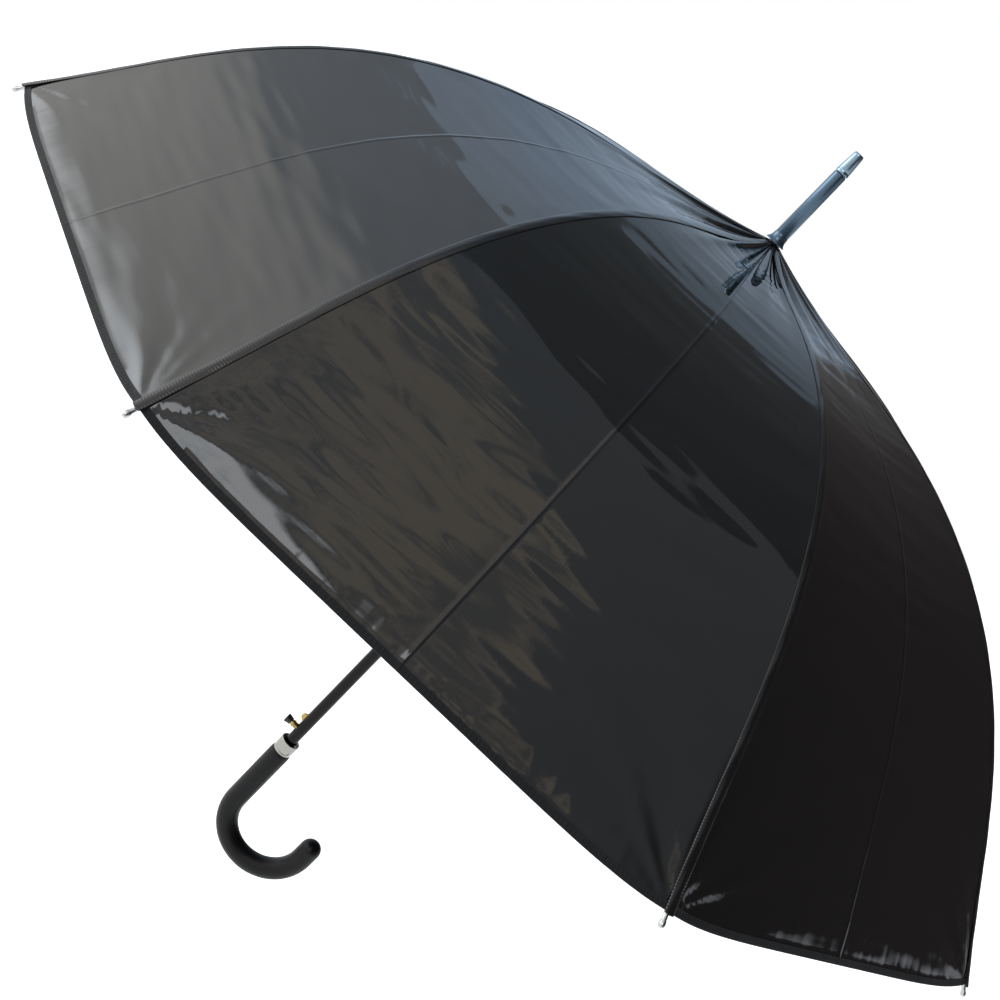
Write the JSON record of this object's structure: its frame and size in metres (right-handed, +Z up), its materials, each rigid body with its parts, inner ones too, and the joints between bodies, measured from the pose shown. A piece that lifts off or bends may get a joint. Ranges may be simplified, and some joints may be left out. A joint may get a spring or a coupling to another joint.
{
  "type": "umbrella",
  "caption": "Automatic walking umbrella with a deep glossy black film dome, ribs and stretchers on a sliding runner, push-button latch and crook handle.",
  "frame": {"origin": "on the shaft axis at the lower edge of the handle collar, where a hand holds the grip", "axes": "+Z up the shaft to the ferrule; the crook opens towards +X, the latch button points to -X, and the middle of canopy panel 1 faces -Y"},
  "size_m": [1.0088, 1.0088, 0.897],
  "materials": {
    "film": "opaque black glossy plasticised PVC film",
    "hem_tape": "woven black polyester binding tape",
    "shaft": "black gloss lacquer on steel tube",
    "rib_steel": "black electro-painted steel",
    "steel": "plain drawn steel",
    "chrome": "bright plated metal",
    "brass": "stamped brass",
    "nylon": "black moulded nylon",
    "grip": "satin black moulded grip with a fine leather grain",
    "ferrule": "gloss blue-black lacquered ferrule"
  },
  "bodies": {
    "root": {"shaft_tube": "shaft", "crook_handle": "grip", "handle_collar": "chrome", "rib_crown": "nylon", "ferrule_spike": "ferrule", "ferrule_cap": "chrome", "latch_pin": "steel", "drive_spring": "steel"},
    "runner_body": {"runner": "nylon", "spring_plunger": "steel"},
    "latch": {"latch_lever": "brass", "latch_button": "nylon"},
    "rib_inner_1": {"rib_channel_1": "rib_steel"},
    "rib_outer_1": {"rib_rod_1": "rib_steel", "rib_tip_1": "chrome"},
    "stretcher_arm_1": {"stretcher_1": "rib_steel"},
    "panel_1": {"canopy_panel_1": "film", "hem_tape_1": "hem_tape"},
    "rib_inner_2": {"rib_channel_2": "rib_steel"},
    "rib_outer_2": {"rib_rod_2": "rib_steel", "rib_tip_2": "chrome"},
    "stretcher_arm_2": {"stretcher_2": "rib_steel"},
    "panel_2": {"canopy_panel_2": "film", "hem_tape_2": "hem_tape"},
    "rib_inner_3": {"rib_channel_3": "rib_steel"},
    "rib_outer_3": {"rib_rod_3": "rib_steel", "rib_tip_3": "chrome"},
    "stretcher_arm_3": {"stretcher_3": "rib_steel"},
    "panel_3": {"canopy_panel_3": "film", "hem_tape_3": "hem_tape"},
    "rib_inner_4": {"rib_channel_4": "rib_steel"},
    "rib_outer_4": {"rib_rod_4": "rib_steel", "rib_tip_4": "chrome"},
    "stretcher_arm_4": {"stretcher_4": "rib_steel"},
    "panel_4": {"canopy_panel_4": "film", "hem_tape_4": "hem_tape"},
    "rib_inner_5": {"rib_channel_5": "rib_steel"},
    "rib_outer_5": {"rib_rod_5": "rib_steel", "rib_tip_5": "chrome"},
    "stretcher_arm_5": {"stretcher_5": "rib_steel"},
    "panel_5": {"canopy_panel_5": "film", "hem_tape_5": "hem_tape"},
    "rib_inner_6": {"rib_channel_6": "rib_steel"},
    "rib_outer_6": {"rib_rod_6": "rib_steel", "rib_tip_6": "chrome"},
    "stretcher_arm_6": {"stretcher_6": "rib_steel"},
    "panel_6": {"canopy_panel_6": "film", "hem_tape_6": "hem_tape"},
    "rib_inner_7": {"rib_channel_7": "rib_steel"},
    "rib_outer_7": {"rib_rod_7": "rib_steel", "rib_tip_7": "chrome"},
    "stretcher_arm_7": {"stretcher_7": "rib_steel"},
    "panel_7": {"canopy_panel_7": "film", "hem_tape_7": "hem_tape"},
    "rib_inner_8": {"rib_channel_8": "rib_steel"},
    "rib_outer_8": {"rib_rod_8": "rib_steel", "rib_tip_8": "chrome"},
    "stretcher_arm_8": {"stretcher_8": "rib_steel"},
    "panel_8": {"canopy_panel_8": "film", "hem_tape_8": "hem_tape"}
  },
  "joints": [
    {"name": "runner_slide", "type": "slide", "parent": "root", "child": "runner_body", "axis": [0, 0, -1], "range_m": [0, 0.43332], "stiffness_N_per_m": 60, "springref_m": -0.25, "deforming": ["drive_spring", "canopy_panel_1", "canopy_panel_2", "canopy_panel_3", "canopy_panel_4", "canopy_panel_5", "canopy_panel_6", "canopy_panel_7", "canopy_panel_8", "hem_tape_1", "hem_tape_2", "hem_tape_3", "hem_tape_4", "hem_tape_5", "hem_tape_6", "hem_tape_7", "hem_tape_8"]},
    {"name": "latch_press", "type": "hinge", "parent": "root", "child": "latch", "pos_m": [-0.0024, 0, -0.006], "axis": [0, 1, 0], "range_deg": [0, 4.5], "stiffness_Nm_per_rad": 3, "springref_deg": -6.88},
    {"name": "rib_fold_1", "type": "hinge", "parent": "root", "child": "rib_inner_1", "pos_m": [0.00413, -0.00998, 0.66587], "axis": [0.9239, 0.3827, 0], "range_deg": [0, 73.64]},
    {"name": "rib_flex_1", "type": "hinge", "parent": "rib_inner_1", "child": "rib_outer_1", "pos_m": [0.11236, -0.27126, 0.59973], "axis": [0.9239, 0.3827, 0], "range_deg": [-24.31, 0]},
    {"name": "stretcher_fold_1", "type": "hinge", "parent": "rib_inner_1", "child": "stretcher_arm_1", "pos_m": [0.1105, -0.26677, 0.59621], "axis": [0.9239, 0.3827, 0], "range_deg": [-147.27, 0]},
    {"name": "panel_fold_1", "type": "hinge", "parent": "root", "child": "panel_1", "pos_m": [0, -0.0092, 0.6696], "axis": [1, 0, 0], "range_deg": [0, 57.01]},
    {"name": "rib_fold_2", "type": "hinge", "parent": "root", "child": "rib_inner_2", "pos_m": [0.00998, -0.00413, 0.66587], "axis": [0.3827, 0.9239, 0], "range_deg": [0, 73.64]},
    {"name": "rib_flex_2", "type": "hinge", "parent": "rib_inner_2", "child": "rib_outer_2", "pos_m": [0.27126, -0.11236, 0.59973], "axis": [0.3827, 0.9239, 0], "range_deg": [-24.31, 0]},
    {"name": "stretcher_fold_2", "type": "hinge", "parent": "rib_inner_2", "child": "stretcher_arm_2", "pos_m": [0.26677, -0.1105, 0.59621], "axis": [0.3827, 0.9239, 0], "range_deg": [-147.27, 0]},
    {"name": "panel_fold_2", "type": "hinge", "parent": "root", "child": "panel_2", "pos_m": [0.00651, -0.00651, 0.6696], "axis": [0.7071, 0.7071, 0], "range_deg": [0, 57.01]},
    {"name": "rib_fold_3", "type": "hinge", "parent": "root", "child": "rib_inner_3", "pos_m": [0.00998, 0.00413, 0.66587], "axis": [-0.3827, 0.9239, 0], "range_deg": [0, 73.64]},
    {"name": "rib_flex_3", "type": "hinge", "parent": "rib_inner_3", "child": "rib_outer_3", "pos_m": [0.27126, 0.11236, 0.59973], "axis": [-0.3827, 0.9239, 0], "range_deg": [-24.31, 0]},
    {"name": "stretcher_fold_3", "type": "hinge", "parent": "rib_inner_3", "child": "stretcher_arm_3", "pos_m": [0.26677, 0.1105, 0.59621], "axis": [-0.3827, 0.9239, 0], "range_deg": [-147.27, 0]},
    {"name": "panel_fold_3", "type": "hinge", "parent": "root", "child": "panel_3", "pos_m": [0.0092, 0, 0.6696], "axis": [0, 1, 0], "range_deg": [0, 57.01]},
    {"name": "rib_fold_4", "type": "hinge", "parent": "root", "child": "rib_inner_4", "pos_m": [0.00413, 0.00998, 0.66587], "axis": [-0.9239, 0.3827, 0], "range_deg": [0, 73.64]},
    {"name": "rib_flex_4", "type": "hinge", "parent": "rib_inner_4", "child": "rib_outer_4", "pos_m": [0.11236, 0.27126, 0.59973], "axis": [-0.9239, 0.3827, 0], "range_deg": [-24.31, 0]},
    {"name": "stretcher_fold_4", "type": "hinge", "parent": "rib_inner_4", "child": "stretcher_arm_4", "pos_m": [0.1105, 0.26677, 0.59621], "axis": [-0.9239, 0.3827, 0], "range_deg": [-147.27, 0]},
    {"name": "panel_fold_4", "type": "hinge", "parent": "root", "child": "panel_4", "pos_m": [0.00651, 0.00651, 0.6696], "axis": [-0.7071, 0.7071, 0], "range_deg": [0, 57.01]},
    {"name": "rib_fold_5", "type": "hinge", "parent": "root", "child": "rib_inner_5", "pos_m": [-0.00413, 0.00998, 0.66587], "axis": [-0.9239, -0.3827, 0], "range_deg": [0, 73.64]},
    {"name": "rib_flex_5", "type": "hinge", "parent": "rib_inner_5", "child": "rib_outer_5", "pos_m": [-0.11236, 0.27126, 0.59973], "axis": [-0.9239, -0.3827, 0], "range_deg": [-24.31, 0]},
    {"name": "stretcher_fold_5", "type": "hinge", "parent": "rib_inner_5", "child": "stretcher_arm_5", "pos_m": [-0.1105, 0.26677, 0.59621], "axis": [-0.9239, -0.3827, 0], "range_deg": [-147.27, 0]},
    {"name": "panel_fold_5", "type": "hinge", "parent": "root", "child": "panel_5", "pos_m": [0, 0.0092, 0.6696], "axis": [-1, 0, 0], "range_deg": [0, 57.01]},
    {"name": "rib_fold_6", "type": "hinge", "parent": "root", "child": "rib_inner_6", "pos_m": [-0.00998, 0.00413, 0.66587], "axis": [-0.3827, -0.9239, 0], "range_deg": [0, 73.64]},
    {"name": "rib_flex_6", "type": "hinge", "parent": "rib_inner_6", "child": "rib_outer_6", "pos_m": [-0.27126, 0.11236, 0.59973], "axis": [-0.3827, -0.9239, 0], "range_deg": [-24.31, 0]},
    {"name": "stretcher_fold_6", "type": "hinge", "parent": "rib_inner_6", "child": "stretcher_arm_6", "pos_m": [-0.26677, 0.1105, 0.59621], "axis": [-0.3827, -0.9239, 0], "range_deg": [-147.27, 0]},
    {"name": "panel_fold_6", "type": "hinge", "parent": "root", "child": "panel_6", "pos_m": [-0.00651, 0.00651, 0.6696], "axis": [-0.7071, -0.7071, 0], "range_deg": [0, 57.01]},
    {"name": "rib_fold_7", "type": "hinge", "parent": "root", "child": "rib_inner_7", "pos_m": [-0.00998, -0.00413, 0.66587], "axis": [0.3827, -0.9239, 0], "range_deg": [0, 73.64]},
    {"name": "rib_flex_7", "type": "hinge", "parent": "rib_inner_7", "child": "rib_outer_7", "pos_m": [-0.27126, -0.11236, 0.59973], "axis": [0.3827, -0.9239, 0], "range_deg": [-24.31, 0]},
    {"name": "stretcher_fold_7", "type": "hinge", "parent": "rib_inner_7", "child": "stretcher_arm_7", "pos_m": [-0.26677, -0.1105, 0.59621], "axis": [0.3827, -0.9239, 0], "range_deg": [-147.27, 0]},
    {"name": "panel_fold_7", "type": "hinge", "parent": "root", "child": "panel_7", "pos_m": [-0.0092, 0, 0.6696], "axis": [0, -1, 0], "range_deg": [0, 57.01]},
    {"name": "rib_fold_8", "type": "hinge", "parent": "root", "child": "rib_inner_8", "pos_m": [-0.00413, -0.00998, 0.66587], "axis": [0.9239, -0.3827, 0], "range_deg": [0, 73.64]},
    {"name": "rib_flex_8", "type": "hinge", "parent": "rib_inner_8", "child": "rib_outer_8", "pos_m": [-0.11236, -0.27126, 0.59973], "axis": [0.9239, -0.3827, 0], "range_deg": [-24.31, 0]},
    {"name": "stretcher_fold_8", "type": "hinge", "parent": "rib_inner_8", "child": "stretcher_arm_8", "pos_m": [-0.1105, -0.26677, 0.59621], "axis": [0.9239, -0.3827, 0], "range_deg": [-147.27, 0]},
    {"name": "panel_fold_8", "type": "hinge", "parent": "root", "child": "panel_8", "pos_m": [-0.00651, -0.00651, 0.6696], "axis": [0.7071, -0.7071, 0], "range_deg": [0, 57.01]}
  ],
  "couplings": [
    {"joint": "rib_fold_1", "follows": "runner_slide", "rad_per_m": 2.9657},
    {"joint": "rib_flex_1", "follows": "runner_slide", "rad_per_m": -0.97876},
    {"joint": "stretcher_fold_1", "follows": "runner_slide", "rad_per_m": -5.9314},
    {"joint": "panel_fold_1", "follows": "runner_slide", "rad_per_m": 2.2958},
    {"joint": "rib_fold_2", "follows": "runner_slide", "rad_per_m": 2.9657},
    {"joint": "rib_flex_2", "follows": "runner_slide", "rad_per_m": -0.97876},
    {"joint": "stretcher_fold_2", "follows": "runner_slide", "rad_per_m": -5.9314},
    {"joint": "panel_fold_2", "follows": "runner_slide", "rad_per_m": 2.2958},
    {"joint": "rib_fold_3", "follows": "runner_slide", "rad_per_m": 2.9657},
    {"joint": "rib_flex_3", "follows": "runner_slide", "rad_per_m": -0.97876},
    {"joint": "stretcher_fold_3", "follows": "runner_slide", "rad_per_m": -5.9314},
    {"joint": "panel_fold_3", "follows": "runner_slide", "rad_per_m": 2.2958},
    {"joint": "rib_fold_4", "follows": "runner_slide", "rad_per_m": 2.9657},
    {"joint": "rib_flex_4", "follows": "runner_slide", "rad_per_m": -0.97876},
    {"joint": "stretcher_fold_4", "follows": "runner_slide", "rad_per_m": -5.9314},
    {"joint": "panel_fold_4", "follows": "runner_slide", "rad_per_m": 2.2958},
    {"joint": "rib_fold_5", "follows": "runner_slide", "rad_per_m": 2.9657},
    {"joint": "rib_flex_5", "follows": "runner_slide", "rad_per_m": -0.97876},
    {"joint": "stretcher_fold_5", "follows": "runner_slide", "rad_per_m": -5.9314},
    {"joint": "panel_fold_5", "follows": "runner_slide", "rad_per_m": 2.2958},
    {"joint": "rib_fold_6", "follows": "runner_slide", "rad_per_m": 2.9657},
    {"joint": "rib_flex_6", "follows": "runner_slide", "rad_per_m": -0.97876},
    {"joint": "stretcher_fold_6", "follows": "runner_slide", "rad_per_m": -5.9314},
    {"joint": "panel_fold_6", "follows": "runner_slide", "rad_per_m": 2.2958},
    {"joint": "rib_fold_7", "follows": "runner_slide", "rad_per_m": 2.9657},
    {"joint": "rib_flex_7", "follows": "runner_slide", "rad_per_m": -0.97876},
    {"joint": "stretcher_fold_7", "follows": "runner_slide", "rad_per_m": -5.9314},
    {"joint": "panel_fold_7", "follows": "runner_slide", "rad_per_m": 2.2958},
    {"joint": "rib_fold_8", "follows": "runner_slide", "rad_per_m": 2.9657},
    {"joint": "rib_flex_8", "follows": "runner_slide", "rad_per_m": -0.97876},
    {"joint": "stretcher_fold_8", "follows": "runner_slide", "rad_per_m": -5.9314},
    {"joint": "panel_fold_8", "follows": "runner_slide", "rad_per_m": 2.2958}
  ]
}
